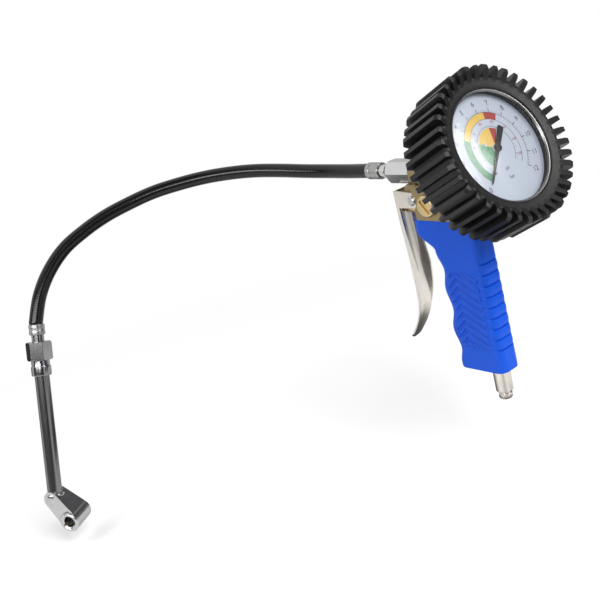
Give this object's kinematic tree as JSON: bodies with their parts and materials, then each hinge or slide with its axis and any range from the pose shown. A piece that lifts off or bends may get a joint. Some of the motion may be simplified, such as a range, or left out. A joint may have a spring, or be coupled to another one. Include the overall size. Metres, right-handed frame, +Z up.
{
  "type": "tire inflator",
  "caption": "Pistol-grip tyre inflator: squeeze lever, tread-booted dial gauge leaning back over the grip, rubber hose and dual-foot chuck; takes air through the nipple under the grip.",
  "frame": {"origin": "on the axis of the air inlet nipple, at the lower end of its round collar", "axes": "+X the way the hose leaves the gun, +Y its left side, +Z up along the grip"},
  "size_m": [0.3322, 0.2997, 0.269],
  "materials": {
    "blue_plastic": "moulded satin plastic",
    "black_rubber": "matt moulded rubber",
    "hose_rubber": "wrap-finish rubber hose",
    "seal_rubber": "smooth rubber",
    "brass": "machined brass",
    "plate": "bright plating",
    "steel": "bright steel",
    "black_paint": "black case",
    "dial_paint": "white dial with coloured sectors",
    "pointer_paint": "black pointer",
    "lens": "clear lens"
  },
  "bodies": {
    "gun": {"grip": "blue_plastic", "air_tube": "steel", "inlet_nipple": "plate", "inlet_seal": "seal_rubber", "valve_body": "brass", "side_plug": "brass", "side_plug_seal": "seal_rubber", "plunger_gland": "brass", "plunger_seal": "seal_rubber", "valve_spring": "steel", "pivot_pin": "steel", "hose_adaptor": "plate", "adaptor_seal": "seal_rubber", "gauge_stem": "brass", "stem_seal": "seal_rubber", "gauge_boot": "black_rubber", "gauge_case": "black_paint", "bezel": "plate", "lens": "lens", "lens_gasket": "seal_rubber", "dial_plate": "dial_paint", "dial_screws": "steel", "dial_posts": "brass", "stop_pin": "steel", "bourdon_tube": "brass", "hairspring": "steel", "back_plate": "brass", "front_plate": "brass", "movement_pillars": "brass", "front_ferrule": "steel", "hose": "hose_rubber", "rear_ferrule": "steel", "hose_coupling": "plate", "coupling_collar": "plate", "chuck_tube": "plate", "chuck_head": "plate", "near_port_seal": "seal_rubber", "far_port_seal": "seal_rubber", "near_depressor": "brass", "far_depressor": "brass"},
    "lever": {"lever": "plate"},
    "plunger": {"plunger": "brass", "valve_disc": "seal_rubber"},
    "sector": {"sector_gear": "brass"},
    "needle": {"pointer_shaft": "steel", "pointer": "pointer_paint"},
    "link": {"tip_link": "steel"}
  },
  "joints": [
    {"name": "lever_pull", "type": "hinge", "parent": "gun", "child": "lever", "pos_m": [0.0434, 0, 0.1373], "axis": [0, 1, 0], "range_deg": [0, 11], "stiffness_Nm_per_rad": 1.5},
    {"name": "plunger_push", "type": "slide", "parent": "gun", "child": "plunger", "axis": [-1, 0, 0], "range_m": [0, 0.0017], "deforming": ["valve_spring"]},
    {"name": "sector_turn", "type": "hinge", "parent": "gun", "child": "sector", "pos_m": [-0.0266, 0, 0.15251], "axis": [-0.9063, 0, 0.4226], "range_deg": [0, 45], "stiffness_Nm_per_rad": 0.002},
    {"name": "pointer_turn", "type": "hinge", "parent": "gun", "child": "needle", "pos_m": [-0.02069, 0, 0.16519], "axis": [-0.9063, 0, 0.4226], "range_deg": [-270, 0]},
    {"name": "link_swing", "type": "hinge", "parent": "sector", "child": "link", "pos_m": [-0.02926, -0.00898, 0.15155], "axis": [-0.9063, 0, 0.4226], "range_deg": [-45, 0]}
  ],
  "couplings": [
    {"joint": "plunger_push", "follows": "lever_pull", "m_per_rad": 0.0083},
    {"joint": "pointer_turn", "follows": "sector_turn", "ratio": -6},
    {"joint": "link_swing", "follows": "sector_turn", "ratio": -1}
  ]
}
